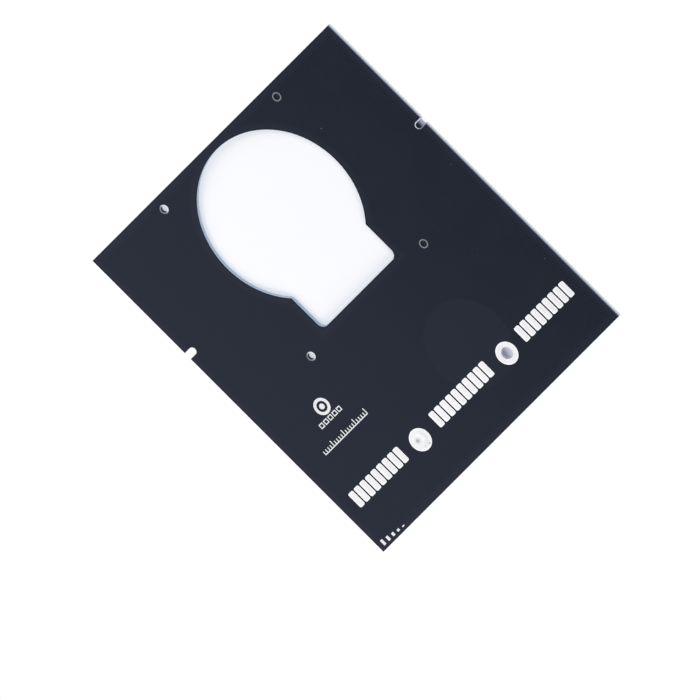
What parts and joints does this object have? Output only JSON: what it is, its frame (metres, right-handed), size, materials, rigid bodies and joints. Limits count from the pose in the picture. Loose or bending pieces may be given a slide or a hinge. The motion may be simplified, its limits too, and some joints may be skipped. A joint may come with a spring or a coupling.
{
  "type": "bare circuit board",
  "caption": "Bare circuit board with a black coating, a keyhole-like window, drilled and plated holes, edge notches and a column of tinned contact pads.",
  "frame": {"origin": "centre of the board's bottom face", "axes": "+X along the long side towards the round window, +Y along the column of pads towards the closed plated hole, +Z out of the face with the pads"},
  "size_m": [0.1124, 0.1084, 0.0015],
  "materials": {
    "substrate": "satin glass-epoxy, pale blue-grey",
    "solder_mask": "satin black coating with a blue tint",
    "tin": "satin white tin",
    "solder": "satin solder",
    "ink": "matte white ink"
  },
  "bodies": {
    "root": {"substrate": "substrate", "solder_mask_top": "solder_mask", "solder_mask_back": "solder_mask", "pad_a_1": "tin", "pad_a_2": "tin", "pad_a_3": "tin", "pad_a_4": "tin", "pad_a_5": "tin", "pad_a_6": "tin", "pad_a_7": "tin", "pad_a_8": "tin", "pad_a_9": "tin", "pad_b_1": "tin", "pad_b_2": "tin", "pad_b_3": "tin", "pad_b_4": "tin", "pad_b_5": "tin", "pad_b_6": "tin", "pad_b_7": "tin", "pad_b_8": "tin", "pad_b_9": "tin", "pad_b_10": "tin", "pad_c_1": "tin", "pad_c_2": "tin", "pad_c_3": "tin", "pad_c_4": "tin", "pad_c_5": "tin", "pad_c_6": "tin", "pad_c_7": "tin", "pad_c_8": "tin", "pad_c_9": "tin", "plated_hole_open": "tin", "plated_hole_filled": "tin", "solder_plug": "solder", "ink_scale": "ink", "ink_check_boxes": "ink", "ink_blocks": "ink", "ink_round_mark": "ink"}
  },
  "joints": []
}
